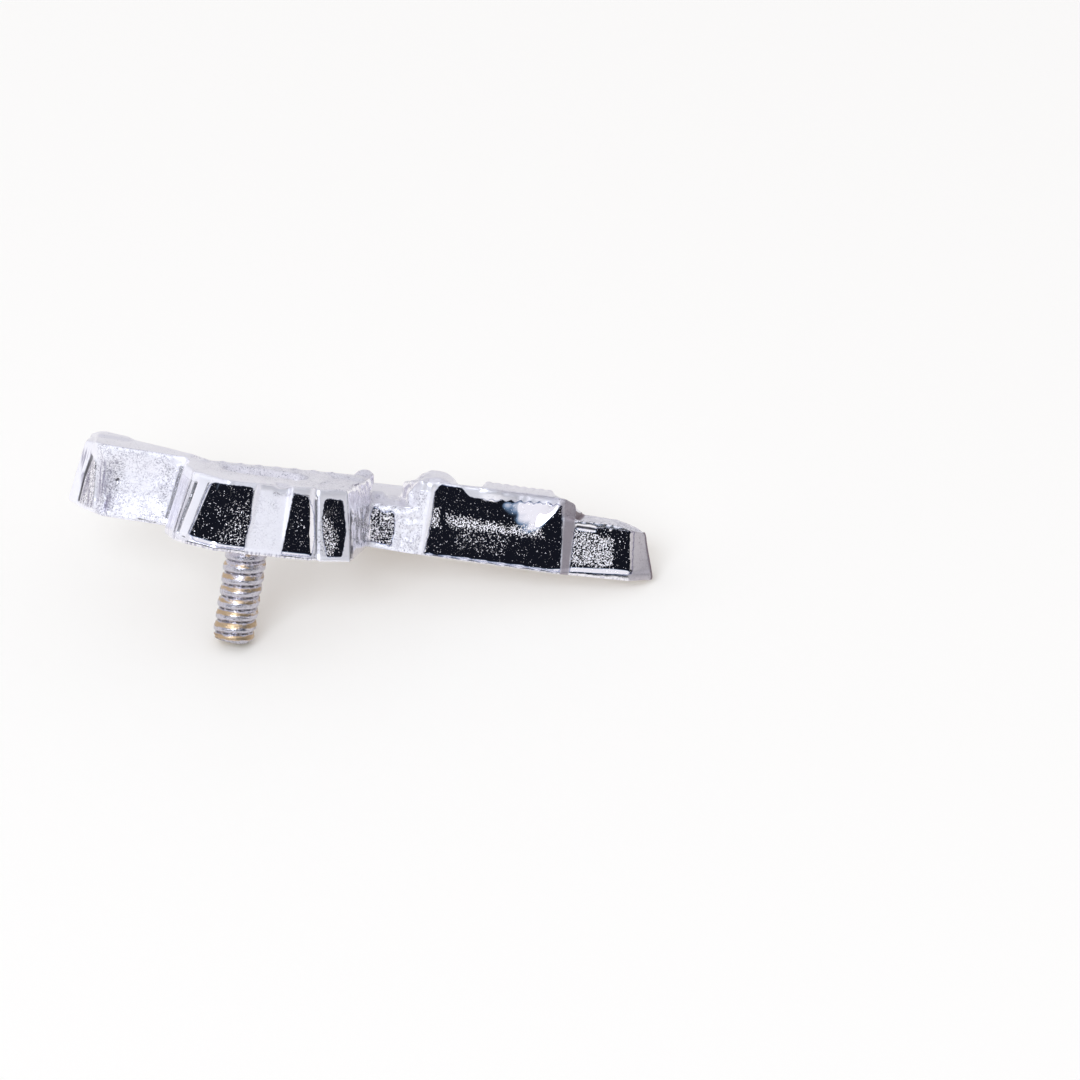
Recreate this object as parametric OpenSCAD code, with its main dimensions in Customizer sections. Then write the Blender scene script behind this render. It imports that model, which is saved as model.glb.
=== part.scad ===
// Labret top: a cast sprig of leaves with a threaded pin under it, lying as it rests by itself.
// All sizes are in millimetres. The shapes are drawn in the frame of the casting's flat back,
// with the pin's root at the origin, and the last modules lay them down on their three contacts.

/* [Casting] */
// Height of the lobed leaf over the flat back
lobe_h = 1.44; // [1.30:0.01:1.60]
// Height of the ribbed leaf over the flat back
leaf_h = 1.52; // [1.40:0.01:1.65]
// Height of the ribbed leaf's tip
tip_h = 1.12; // [0.95:0.01:1.25]
// Height of the stem between the leaves
stem_h = 0.90; // [0.75:0.01:1.05]
// Height of the small leaf at the back
small_leaf_h = 0.80; // [0.70:0.01:0.90]
// Slope of the back half of the top face, in degrees
droop = 16; // [14:0.5:18]

/* [Ornament] */
// Beads in the row along the lobed leaf
beads = 8; // [5:1:9]
// Radius of one bead
bead_r = 0.15; // [0.12:0.01:0.17]
// How far the beads stand over the lobed leaf
bead_rise = 0.07; // [0.05:0.01:0.12]
// Length of the sunk oval panel
panel_len = 1.75; // [1.30:0.05:1.90]
// Width of the sunk oval panel
panel_w = 0.62; // [0.50:0.02:0.70]
// Depth of the sunk oval panel
panel_depth = 0.16; // [0.08:0.01:0.25]
// Ribs across the ribbed leaf
ribs = 8; // [5:1:9]
// Radius of one rib
rib_r = 0.11; // [0.08:0.01:0.13]
// How far the ribs stand over the leaf
rib_rise = 0.03; // [0.02:0.01:0.06]
// Radius of the hump at the ribbed leaf's foot
hump_r = 0.50; // [0.40:0.01:0.55]
// How far the hump stands over the leaf
hump_rise = 0.06; // [0.04:0.01:0.12]

/* [Threaded pin] */
// Radius over the crests of the thread
pin_r = 0.43; // [0.40:0.01:0.48]
// Depth of the thread
thread_depth = 0.10; // [0.06:0.01:0.12]
// Distance from crest to crest
pitch = 0.245; // [0.22:0.005:0.26]
// Crests of the thread
crests = 7; // [6:1:8]
// Plain neck between the flat back and the first crest
neck_len = 0.28; // [0.22:0.01:0.40]
// Radius of the neck right under the flat back
neck_r = 0.38; // [0.35:0.01:0.42]
// Chamfered length at the tip
tip_chamfer = 0.08; // [0.05:0.01:0.10]

/* [Seat of the pin] */
// Radius of the shank inside the casting
shank_r = 0.26; // [0.20:0.01:0.30]
// Length of the shank inside the casting
shank_len = 0.66; // [0.50:0.02:0.80]
// Gap all round the shank
seat_gap = 0.015; // [0.01:0.005:0.03]

/* [Hidden] */
$fn = 48;
arc_steps = 6;

// Outlines on the flat back. Each row is x, y, corner radius.
left_lobe = [
    [-3.70, 1.15, 0.24],
    [-3.34, 0.50, 0.10],
    [-2.96, 0.13, 0.12],
    [-1.50, 0.16, 0.05],
    [-0.90, 1.20, 0.05],
    [-2.10, 1.85, 0.35],
    [-3.34, 1.92, 0.45]];
near_lobe = [
    [-1.68, -0.40, 0.12],
    [-1.56, -0.96, 0.12],
    [-0.70, -1.34, 0.25],
    [1.37, -0.81, 0.16],
    [1.37, 1.10, 0.05],
    [-1.40, 1.10, 0.05]];
small_block = [
    [1.44, -0.78, 0.06],
    [2.06, -0.38, 0.08],
    [2.36, 1.40, 0.10],
    [1.20, 1.40, 0.05],
    [1.20, -0.55, 0.02]];
far_left_lobe = [
    [-2.00, 0.80, 0.10],
    [-0.30, 0.80, 0.10],
    [-0.55, 2.30, 0.35],
    [-1.30, 2.80, 0.45],
    [-2.15, 2.15, 0.35]];
far_right_lobe = [
    [-0.60, 0.80, 0.10],
    [2.10, 0.80, 0.10],
    [1.75, 2.25, 0.40],
    [0.70, 2.95, 0.50],
    [-0.35, 2.35, 0.35]];
stem = [
    [1.90, 1.21, 0.05],
    [3.30, 1.21, 0.05],
    [3.30, 2.20, 0.05],
    [1.60, 2.20, 0.05]];
ribbed_leaf = [
    [3.14, 1.21, 0.12],
    [6.10, 1.51, 0.05],
    [6.40, 1.74, 0.05],
    [6.40, 3.05, 0.40],
    [4.90, 3.55, 0.80],
    [3.20, 3.20, 0.60],
    [2.80, 2.00, 0.30]];
leaf_tip = [
    [6.00, 1.49, 0.05],
    [7.52, 1.92, 0.10],
    [8.02, 2.40, 0.15],
    [7.82, 2.80, 0.26],
    [6.00, 2.85, 0.05]];
small_leaf = [
    [2.25, 1.80, 0.05],
    [3.15, 1.80, 0.05],
    [3.55, 3.30, 0.70],
    [2.58, 5.24, 0.45],
    [1.80, 4.10, 0.60],
    [1.95, 2.90, 0.60]];

// The corner of each leaf that stands on the surface: outline and row number
leaf_foot = [leaf_tip, 3];
small_leaf_foot = [small_leaf, 3];

// The ridges where the top face turns down to the back, each as two points:
// one for the left lobe alone, and one along all the rest
left_ridge = [[-3.60, 1.40], [-1.80, 0.72]];
long_ridge = [[0.00, 0.55], [7.50, 2.65]];

// Middle of the sunk panel and of the bead row, and the turn of both
panel_at = [0.10, -0.04];
panel_turn = 8;
bead_at = [0.15, 0.50];
bead_pitch = 0.37;

// First rib and hump on the ribbed leaf, and the width that the ribs cross
first_rib_at = [4.02, 1.34];
rib_step = [0.26, 0.025];
rib_len = 0.75;
hump_at = [3.48, 1.34];
hump_len = 0.75;

// Lumps on the stem. Each row is x, y, z, radius.
lumps = [
    [2.45, 1.62, 0.80, 0.26],
    [2.80, 1.50, 0.78, 0.22],
    [2.05, 1.45, 1.26, 0.24]];

// Groove between the near lobe and the small block
groove_at = [1.405, -0.79];
groove_r = 0.07;

// Slope of the leaf tip's end wall
end_slope = 16;

// Turn of the lying part on the surface, seen from above
lie_turn = 3.9;

// Radius at the foot of the thread, where its sides meet
thread_root_r = pin_r - thread_depth;
crest_w = pitch * 0.28;
thread_len = (crests - 0.5) * pitch + crest_w / 2;
pin_len = neck_len + thread_len + tip_chamfer;
pin_tip_r = pin_r - tip_chamfer;

function unit(v) = v / norm(v);
function turn_of(v) = atan2(v[1], v[0]);
function turned(v, a) = [v[0] * cos(a) - v[1] * sin(a), v[0] * sin(a) + v[1] * cos(a)];

// Centre of the arc that rounds corner i of an outline
function arc_centre(rows, i) =
    let (
        n = len(rows),
        p = [rows[i][0], rows[i][1]],
        before = rows[(i + n - 1) % n],
        after = rows[(i + 1) % n],
        a = unit([before[0], before[1]] - p),
        b = unit([after[0], after[1]] - p),
        half = acos(a * b) / 2
    )
    p + unit(a + b) * rows[i][2] / sin(half);

// Points of the arc at corner i, turning the short way round its centre
function arc_points(rows, i) =
    let (
        n = len(rows),
        p = [rows[i][0], rows[i][1]],
        r = rows[i][2],
        before = rows[(i + n - 1) % n],
        after = rows[(i + 1) % n],
        a = unit([before[0], before[1]] - p),
        b = unit([after[0], after[1]] - p),
        reach = r / tan(acos(a * b) / 2),
        c = arc_centre(rows, i),
        from = p + a * reach - c,
        to = p + b * reach - c,
        start = atan2(from[1], from[0]),
        full = atan2(to[1], to[0]) - start,
        turn = full > 180 ? full - 360 : full < -180 ? full + 360 : full
    )
    [for (k = [0:arc_steps]) c + r * [cos(start + turn * k / arc_steps), sin(start + turn * k / arc_steps)]];

function outline(rows) = [for (i = [0:len(rows) - 1]) each arc_points(rows, i)];

// Where the sloping end wall starts, at the right end of the flat back
end_x = max([for (p = outline(leaf_tip)) p[0]]);

// Height of the drooping back half of the top face over a point of the flat back
function droop_height(p, ridge) =
    let (away = (p - ridge[0]) * turned(unit(ridge[1] - ridge[0]), 90))
    lobe_h - max(0, away) * tan(droop);

// The casting stands on two round corners. Their common tangent gives the way it leans.
foot_a = arc_centre(leaf_foot[0], leaf_foot[1]);
foot_b = arc_centre(small_leaf_foot[0], small_leaf_foot[1]);
foot_a_r = leaf_foot[0][leaf_foot[1]][2];
foot_b_r = small_leaf_foot[0][small_leaf_foot[1]][2];
between = foot_a - foot_b;
lean_share = (foot_b_r - foot_a_r) / norm(between);
lean_dir = lean_share * unit(between) + sqrt(1 - lean_share * lean_share) * turned(unit(between), 90);
lean_turn = turn_of(lean_dir);
foot_reach = foot_a * lean_dir + foot_a_r;

// The pin's tip rim is the third contact, and sets how far the casting leans
lean = atan(pin_len / (foot_reach - pin_tip_r));
lift = foot_reach * sin(lean);

// A point of the casting's frame, laid down on the surface
function laid(p) =
    let (
        along = [p[0], p[1]] * lean_dir,
        across = [p[0], p[1]] - along * lean_dir,
        forward = along * cos(lean) + p[2] * sin(lean),
        flat = turned(across + forward * lean_dir, -lie_turn)
    )
    [flat[0], flat[1], lift + p[2] * cos(lean) - along * sin(lean)];

// Every lobe of the casting. Each row is outline, height, ridge.
lobes = [
    [left_lobe, lobe_h, left_ridge],
    [near_lobe, lobe_h, long_ridge],
    [small_block, lobe_h - 0.04, long_ridge],
    [far_left_lobe, lobe_h, long_ridge],
    [far_right_lobe, lobe_h, long_ridge],
    [stem, stem_h, long_ridge],
    [ribbed_leaf, leaf_h, long_ridge],
    [leaf_tip, tip_h, long_ridge],
    [small_leaf, small_leaf_h, long_ridge]];

// The outlines' points laid down, at the back and at the top, to find the middle of the part
laid_points = [
    for (row = lobes, p = outline(row[0]), top = [0, 1])
        let (z = top * min(row[1], droop_height(p, row[2])))
        laid([min(p[0], end_x - z * tan(end_slope)), p[1], z])];
laid_x = [for (p = laid_points) p[0]];
laid_y = [for (p = laid_points) p[1]];
middle = [(min(laid_x) + max(laid_x)) / 2, (min(laid_y) + max(laid_y)) / 2];

// Everything above the sloping back half of the top face behind a ridge
module above_the_droop(ridge) {
    reach = 14;
    translate([ridge[0][0], ridge[0][1], lobe_h])
        rotate([0, 0, turn_of(ridge[1] - ridge[0])])
            rotate([-droop, 0, 0])
                translate([-reach, 0, 0])
                    cube([2 * reach, reach, reach]);
}

// One lobe, upright on the flat back, with its top drooping behind its ridge
module lobe(rows, height, ridge) {
    difference() {
        linear_extrude(height) polygon(outline(rows));
        above_the_droop(ridge);
    }
}

// Oval panel sunk in the top of the near lobe
module sunk_panel() {
    half = (panel_len - panel_w) / 2;
    translate([panel_at[0], panel_at[1], lobe_h - panel_depth])
        rotate([0, 0, panel_turn]) {
            translate([-half, -panel_w / 2, 0])
                cube([2 * half, panel_w, panel_depth + 1]);
            for (side = [-1, 1])
                translate([side * half, 0, 0])
                    cylinder(r = panel_w / 2, h = panel_depth + 1);
        }
}

// Everything past the sloping end wall of the leaf tip
module past_the_end() {
    translate([end_x, 0, 0])
        rotate([0, -end_slope, 0])
            translate([0, 0, -1])
                cube([2, 4, 4]);
}

module bead_row() {
    for (i = [0:beads - 1])
        translate([bead_at[0], bead_at[1], 0])
            rotate([0, 0, turn_of(long_ridge[1] - long_ridge[0])])
                translate([(i - (beads - 1) / 2) * bead_pitch, 0, lobe_h + bead_rise - bead_r])
                    sphere(r = bead_r);
}

// Ribs lie across the near half of the ribbed leaf, half sunk in its top
module rib_row() {
    for (i = [0:ribs - 1])
        translate([first_rib_at[0] + i * rib_step[0], first_rib_at[1] + i * rib_step[1], leaf_h + rib_rise - rib_r])
            rotate([-90, 0, 0])
                cylinder(r = rib_r, h = rib_len);
}

module hump() {
    translate([hump_at[0], hump_at[1], leaf_h + hump_rise - hump_r])
        rotate([-90, 0, 0])
            cylinder(r = hump_r, h = hump_len);
}

module stem_lumps() {
    for (row = lumps)
        translate([row[0], row[1], row[2]])
            sphere(r = row[3]);
}

module cast_body() {
    difference() {
        for (row = lobes)
            lobe(row[0], row[1], row[2]);
        sunk_panel();
        past_the_end();
        translate([groove_at[0], groove_at[1], -1])
            cylinder(r = groove_r, h = lobe_h + 2);
        translate([0, 0, -1])
            cylinder(r = shank_r + seat_gap, h = shank_len + seat_gap + 1);
    }
    bead_row();
    rib_row();
    hump();
    stem_lumps();
}

// Half outline of the pin from its shank down to its tip, as radius and height
function thread_profile() = [
    for (i = [0:crests - 1])
        let (top = -neck_len - i * pitch)
        each [
            [thread_root_r, top],
            [pin_r, top - (pitch - crest_w) / 2],
            [pin_r, top - (pitch + crest_w) / 2]]];
pin_profile = concat(
    [[0, shank_len], [shank_r, shank_len], [shank_r, -seat_gap], [neck_r, -seat_gap]],
    thread_profile(),
    [[pin_tip_r, -pin_len], [0, -pin_len]]);

// Lays the casting's frame down on its three contacts, with the middle of the part over the origin
module lay_down() {
    translate([-middle[0], -middle[1], lift])
        rotate([0, 0, lean_turn - lie_turn])
            rotate([0, lean, 0])
                rotate([0, 0, -lean_turn])
                    children();
}

module cast_sprig() {
    color("gainsboro")
        lay_down()
            cast_body();
}

module threaded_pin() {
    color("tan")
        lay_down()
            rotate_extrude()
                polygon(pin_profile);
}

cast_sprig();
threaded_pin();
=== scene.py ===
# %% [markdown]
# # A labret top: cast sprig and threaded pin
#
# This small piece of body jewellery is a sprig of leaves, cast in one piece and plated bright
# white, with a screw-cut pin under it. It lies on three points: the rim of the pin's tip and
# the tips of two leaves. The lesson sets the camera and the light first, then models the sprig
# and the pin with Blender's own tools, and gives each its metal.

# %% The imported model
import math

import bpy
import numpy as np
from mathutils import Matrix, Vector, noise


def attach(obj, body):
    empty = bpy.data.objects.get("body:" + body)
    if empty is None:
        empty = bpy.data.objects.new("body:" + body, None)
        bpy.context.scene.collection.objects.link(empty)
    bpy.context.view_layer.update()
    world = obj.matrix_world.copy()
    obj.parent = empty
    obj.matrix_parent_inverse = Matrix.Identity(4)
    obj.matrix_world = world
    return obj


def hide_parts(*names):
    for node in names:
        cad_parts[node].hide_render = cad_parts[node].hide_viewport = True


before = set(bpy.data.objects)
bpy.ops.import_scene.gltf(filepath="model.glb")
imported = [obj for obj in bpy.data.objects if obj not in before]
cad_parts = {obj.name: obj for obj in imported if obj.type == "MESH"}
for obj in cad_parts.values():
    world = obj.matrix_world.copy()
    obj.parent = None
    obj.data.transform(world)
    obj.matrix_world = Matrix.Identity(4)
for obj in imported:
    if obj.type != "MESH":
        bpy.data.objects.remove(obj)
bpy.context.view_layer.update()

MM = 1000  # millimetres in a metre

# %% [markdown]
# ## The camera
#
# The photograph was taken from well away with a long lens, about 32 degrees above the
# surface. Everything in it is about 50 pixels a millimetre. A camera can be placed by trial, or
# worked out. Here it is worked out: the place of the part's origin in the picture is known, so
# the point in the middle of the picture is too, and the lens follows from the distance and the
# width that the picture takes in.

# %% Camera
FRAME_PIXELS = 1080
PIXELS_PER_MM = 50.6
ORIGIN_ACROSS, ORIGIN_DOWN = 361.0, 582.0
ELEVATION = math.radians(32.5)
DISTANCE = 0.6  # metres
SENSOR = 36.0  # millimetres

camera_up = Vector((0, math.sin(ELEVATION), math.cos(ELEVATION)))
towards = Vector((0, math.cos(ELEVATION), -math.sin(ELEVATION)))
middle_right = (FRAME_PIXELS / 2 - ORIGIN_ACROSS) / PIXELS_PER_MM / MM
middle_up = (ORIGIN_DOWN - FRAME_PIXELS / 2) / PIXELS_PER_MM / MM
target = Vector((middle_right, 0, 0)) + camera_up * middle_up

camera_data = bpy.data.cameras.new("camera")
camera = bpy.data.objects.new("camera", camera_data)
bpy.context.scene.collection.objects.link(camera)
camera_data.sensor_width = SENSOR
camera_data.lens = SENSOR * DISTANCE / (FRAME_PIXELS / PIXELS_PER_MM / MM)
camera_data.clip_start, camera_data.clip_end = 0.01, 5.0
camera.location = target - towards * DISTANCE
camera.rotation_euler = towards.to_track_quat("-Z", "Y").to_euler()
bpy.context.scene.camera = camera
print("lens", round(camera_data.lens), "mm from", round(DISTANCE * MM), "mm")

# %% [markdown]
# ## Colours and nodes
#
# Colours are written as on the web, and the shaders want them linear. A shader is a tree of
# nodes, and one small function adds a node with its settings and links. Inputs go by name or
# by number: a MapRange takes a value, its low and high, and the low and high to turn them
# into, as 0 to 4. The last two are 0 and 1 unless they are given. A Mix of colours takes the
# share as 0 and the two colours as 6 and 7.


# %% Colours and nodes
def linear(hex_colour):
    """An sRGB hex colour as linear RGBA."""
    parts = [int(hex_colour[i:i + 2], 16) / 255 for i in (1, 3, 5)]
    return [p / 12.92 if p <= 0.04045 else ((p + 0.055) / 1.055) ** 2.4 for p in parts] + [1.0]


def add(tree, kind, links=None, out=0, **settings):
    """Adds a shader node and returns one of its outputs. Links sets or joins its inputs."""
    node = tree.nodes.new("ShaderNode" + kind)
    for name, value in settings.items():
        setattr(node, name, value)
    for name, value in (links or {}).items():
        socket = node.inputs[name]
        if isinstance(value, bpy.types.NodeSocket):
            tree.links.new(value, socket)
        else:
            socket.default_value = value
    return node.outputs[out] if node.outputs else None


print("middle grey in linear light", round(linear("#808080")[0], 3))

# %% [markdown]
# ## The floor and the light
#
# The jewellery lies on a sheet of matt white acrylic, cast between plates and lit a little from
# below, so its shadows are faint and warm. One large soft lamp hangs over it and draws the
# white lines along its edges. The sky is pale, apart from a dark card low down on the camera's
# side. Bright metal has no colour of its own and shows what stands round it, and it is that
# card which turns the polished walls nearly black in the photograph. The card is painted on
# the sky rather than set up as a sheet, so that it never stands in another view. Its upper
# edge runs out through blue.

# %% Floor
bpy.ops.mesh.primitive_plane_add(size=1.2)
floor = bpy.context.object
floor.name = "floor"

sheet = bpy.data.materials.new("white_acrylic_sheet")
sheet.use_nodes = True
shader = sheet.node_tree.nodes["Principled BSDF"]
shader.inputs["Base Color"].default_value = linear("#F1F1EF")
shader.inputs["Roughness"].default_value = 0.55
shader.inputs["Emission Color"].default_value = linear("#FFEBC2")
shader.inputs["Emission Strength"].default_value = 0.13
floor.data.materials.append(sheet)
print("floor", [round(v, 2) for v in floor.dimensions], "m")

# %% Lamp
# sizes and places are in metres, and power is in watts
lamp_data = bpy.data.lights.new("soft_box", "AREA")
lamp_data.shape = "DISK"
lamp_data.size = 0.22
lamp_data.energy = 0.70
lamp_data.color = (0.86, 0.92, 1.0)
lamp = bpy.data.objects.new("soft_box", lamp_data)
lamp.location = (-0.12, -0.28, 0.24)
lamp.rotation_euler = (-Vector(lamp.location)).to_track_quat("-Z", "Y").to_euler()
bpy.context.scene.collection.objects.link(lamp)
print("lamp", round(lamp.location.length, 2), "m away")

# %% Place of the card on the sky
world = bpy.data.worlds.new("studio")
bpy.context.scene.world = world
world.use_nodes = True
tree = world.node_tree
tree.nodes.clear()

sky_place = add(tree, "TexCoord", out="Generated")
sky_axes = add(tree, "SeparateXYZ", {0: sky_place}).node.outputs
forward = add(tree, "Math", {0: sky_axes["Y"], 1: -1.0}, operation="MULTIPLY")
# the angle round from the camera's side, and where each end of the card fades in, in radians
azimuth = add(tree, "Math", {0: sky_axes["X"], 1: forward}, operation="ARCTAN2")
CARD_ENDS = ((-1.12, -0.99), (1.70, 1.54))
left_end, right_end = (
    add(tree, "MapRange", {0: azimuth, 1: bare, 2: full}, interpolation_type="SMOOTHSTEP")
    for bare, full in CARD_ENDS
)
card = add(tree, "Math", {0: left_end, 1: right_end}, operation="MULTIPLY")
# the card shows in reflections only, never as a backdrop
straight = add(tree, "LightPath", out="Is Camera Ray")
hidden = add(tree, "Math", {0: 1.0, 1: straight}, operation="SUBTRACT")
card = add(tree, "Math", {0: card, 1: hidden}, operation="MULTIPLY")
print("card's ends in degrees", [round(math.degrees(bare)) for bare, full in CARD_ENDS])

# %% Colour and strength of the sky
sky = linear("#F3F3F8")
# the blue edge and then the dark card, each with the heights that it fades between
for low, high, paint in ((0.40, 0.52, "#6E89A8"), (0.32, 0.44, "#14161E")):
    height = {0: sky_axes["Z"], 1: high, 2: low}
    below = add(tree, "MapRange", height, interpolation_type="SMOOTHSTEP")
    share = add(tree, "Math", {0: card, 1: below}, operation="MULTIPLY")
    sky = add(tree, "Mix", {0: share, 6: sky, 7: linear(paint)}, out=2, data_type="RGBA")
# the sky is brighter on the camera's side
strength = add(tree, "MapRange", {0: sky_axes["Y"], 1: -1.0, 2: 1.0, 3: 1.02, 4: 0.80})
glow = add(tree, "Background", {"Color": sky, "Strength": strength})
add(tree, "OutputWorld", {"Surface": glow})
bpy.context.scene.view_settings.view_transform = "Standard"
print("sky", len(tree.nodes), "nodes")

# %% [markdown]
# ## The bench frame
#
# The sprig is modelled lying flat on its back, in millimetres, with the pin's root at the
# origin, as a maker would have it on the bench. At the end everything is shrunk to metres and
# laid down on its three points by one matrix: a turn, the lean, a turn back, and a shift.

# %% Bench frame
LEAN = math.radians(21.3838)
LEAN_TURN = math.radians(68.5902)
LIE_TURN = math.radians(3.9)
PLACE = (-2.20255, -1.62478, 1.97764)
lay_down = (
    Matrix.Scale(1 / MM, 4)
    @ Matrix.Translation(PLACE)
    @ Matrix.Rotation(LEAN_TURN - LIE_TURN, 4, "Z")
    @ Matrix.Rotation(LEAN, 4, "Y")
    @ Matrix.Rotation(-LEAN_TURN, 4, "Z")
)
print("the pin's root comes to lie at", [round(v * MM, 2) for v in lay_down.translation], "mm")

# %% [markdown]
# ## The leaves
#
# Each lobe of the sprig is a thick flat shape with rounded corners, whose top falls away to
# the back. It could be drawn as a curve and filled, but a filled circle with few points shows
# the steps better: the points are set round the outline, the face is extruded up, and a
# bisect cuts the sloping top.

# %% Outlines
LOBE_HEIGHT = 1.44
DROOP = math.radians(16)
left_ridge = ((-3.60, 1.40), (-1.80, 0.72))
long_ridge = ((0.00, 0.55), (7.50, 2.65))

# name, height, ridge, and the corners as x, y, radius
leaves = [
    ("left_lobe", LOBE_HEIGHT, left_ridge, [
        (-3.70, 1.15, 0.24), (-3.34, 0.50, 0.10), (-2.96, 0.13, 0.12), (-1.50, 0.16, 0.05),
        (-0.90, 1.20, 0.05), (-2.10, 1.85, 0.35), (-3.34, 1.92, 0.45),
    ]),
    ("near_lobe", LOBE_HEIGHT, long_ridge, [
        (-1.68, -0.40, 0.12), (-1.50, -0.92, 0.10), (-1.20, -1.12, 0.10), (-0.62, -1.32, 0.30),
        (0.05, -1.18, 0.40), (1.37, -0.81, 0.22), (1.37, 1.10, 0.05), (-1.40, 1.10, 0.05),
    ]),
    ("small_block", 1.40, long_ridge, [
        (1.44, -0.78, 0.06), (2.06, -0.38, 0.08), (2.36, 1.40, 0.10), (1.20, 1.40, 0.05),
        (1.20, -0.55, 0.02),
    ]),
    ("far_left_lobe", LOBE_HEIGHT, long_ridge, [
        (-2.00, 0.80, 0.10), (-0.30, 0.80, 0.10), (-0.55, 2.30, 0.35), (-1.30, 2.80, 0.45),
        (-2.15, 2.15, 0.35),
    ]),
    ("far_right_lobe", LOBE_HEIGHT, long_ridge, [
        (-0.60, 0.80, 0.10), (2.10, 0.80, 0.10), (1.75, 2.25, 0.40), (0.70, 2.95, 0.50),
        (-0.35, 2.35, 0.35),
    ]),
    ("stem", 0.90, long_ridge, [
        (1.90, 1.21, 0.05), (3.30, 1.21, 0.05), (3.30, 2.20, 0.05), (1.60, 2.20, 0.05),
    ]),
    ("ribbed_leaf", 1.52, long_ridge, [
        (3.14, 1.21, 0.12), (6.10, 1.51, 0.05), (6.40, 1.74, 0.05), (6.40, 3.05, 0.40),
        (4.90, 3.55, 0.80), (3.20, 3.20, 0.60), (2.80, 2.00, 0.30),
    ]),
    ("leaf_tip", 1.12, long_ridge, [
        (6.00, 1.49, 0.05), (7.52, 1.92, 0.10), (8.02, 2.40, 0.15), (7.82, 2.80, 0.26),
        (6.00, 2.85, 0.05),
    ]),
    ("small_leaf", 0.80, long_ridge, [
        (2.25, 1.80, 0.05), (3.15, 1.80, 0.05), (3.55, 3.30, 0.70), (2.58, 5.24, 0.45),
        (1.80, 4.10, 0.60), (1.95, 2.90, 0.60),
    ]),
]
print("leaves and lobes", len(leaves))


# %% Rounded corners
def rounded(corners, steps=6):
    """The outline through the corners, each rounded by an arc of its radius."""
    ring = []
    for i, (x, y, radius) in enumerate(corners):
        here = Vector((x, y))
        back = (Vector(corners[i - 1][:2]) - here).normalized()
        ahead = (Vector(corners[(i + 1) % len(corners)][:2]) - here).normalized()
        half = back.angle(ahead) / 2
        centre = here + (back + ahead).normalized() * radius / math.sin(half)
        start = here + back * radius / math.tan(half) - centre
        turn = start.angle_signed(here + ahead * radius / math.tan(half) - centre)
        for k in range(steps + 1):
            spoke = start.copy()
            spoke.rotate(Matrix.Rotation(-turn * k / steps, 2))
            ring.append(centre + spoke)
    return ring


print("points round the left lobe", len(rounded(leaves[0][3])))

# %% [markdown]
# An operator acts on all that is selected, so a helper clears the selection first.


# %% Lobes
def only(obj):
    """Makes obj the one selected and active object."""
    if bpy.context.object and bpy.context.object.mode != "OBJECT":
        bpy.ops.object.mode_set(mode="OBJECT")
    for other in bpy.context.selected_objects:
        other.select_set(False)
    obj.select_set(True)
    bpy.context.view_layer.objects.active = obj
    return obj


def lobe(name, height, ridge, corners):
    """A thick shape with rounded corners, and a top that droops behind its ridge."""
    ring = rounded(corners)
    bpy.ops.mesh.primitive_circle_add(vertices=len(ring), radius=1, fill_type="NGON")
    obj = only(bpy.context.object)
    obj.name = name
    for vertex, spot in zip(obj.data.vertices, ring):
        vertex.co = (*spot, 0)
    bpy.ops.object.mode_set(mode="EDIT")
    bpy.ops.mesh.select_all(action="SELECT")
    bpy.ops.mesh.extrude_region_move(TRANSFORM_OT_translate={"value": (0, 0, height)})
    bpy.ops.mesh.select_all(action="SELECT")
    along = (Vector(ridge[1]) - Vector(ridge[0])).normalized()
    across = math.sin(DROOP)
    cut_normal = Vector((-along.y * across, along.x * across, math.cos(DROOP)))
    cut_place = (*ridge[0], LOBE_HEIGHT)
    bpy.ops.mesh.bisect(plane_co=cut_place, plane_no=cut_normal, use_fill=True, clear_outer=True)
    bpy.ops.mesh.select_all(action="SELECT")
    bpy.ops.mesh.normals_make_consistent(inside=False)
    bpy.ops.object.mode_set(mode="OBJECT")
    return obj


parts = [lobe(*row) for row in leaves]
print([(o.name, len(o.data.vertices)) for o in parts])

# %% [markdown]
# ## Beads, ribs and lumps
#
# The ornament on the top is simple: a row of beads, ribs across the ribbed leaf, a hump at
# its foot and a few lumps on the stem. Each is made once and copied, half sunk in the leaf.


# %% Beads
def copies(first, places):
    """Copies of one piece, each with its own mesh, moved to the places. The first moves too."""
    made = [first]
    for _ in places[1:]:
        twin = first.copy()
        twin.data = first.data.copy()
        bpy.context.scene.collection.objects.link(twin)
        made.append(twin)
    for obj, spot in zip(made, places):
        obj.data.transform(Matrix.Translation(spot))
    return made


BEADS, BEAD_SPACING, BEAD_RADIUS = 8, 0.37, 0.15
ROW_X, ROW_Y, ROW_Z = 0.15, 0.50, 1.33
bpy.ops.mesh.primitive_ico_sphere_add(subdivisions=3, radius=BEAD_RADIUS)
bead = only(bpy.context.object)
# the row runs along the long ridge
bead_turn = math.atan2(2.10, 7.50)
bead_places = []
for i in range(BEADS):
    step = (i - (BEADS - 1) / 2) * BEAD_SPACING
    across, back = step * math.cos(bead_turn), step * math.sin(bead_turn)
    bead_places.append((ROW_X + across, ROW_Y + back, ROW_Z))
parts += copies(bead, bead_places)
print("beads", len(bead_places))


# %% Ribs, hump and lumps
ROD_LENGTH = 0.75


def rod(vertices, radius):
    """A short round rod that lies from the near side to the far side."""
    size = {"vertices": vertices, "radius": radius, "depth": ROD_LENGTH}
    bpy.ops.mesh.primitive_cylinder_add(rotation=(math.pi / 2, 0, 0), **size)
    obj = only(bpy.context.object)
    bpy.ops.object.transform_apply(location=False, rotation=True, scale=False)
    return obj


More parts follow.
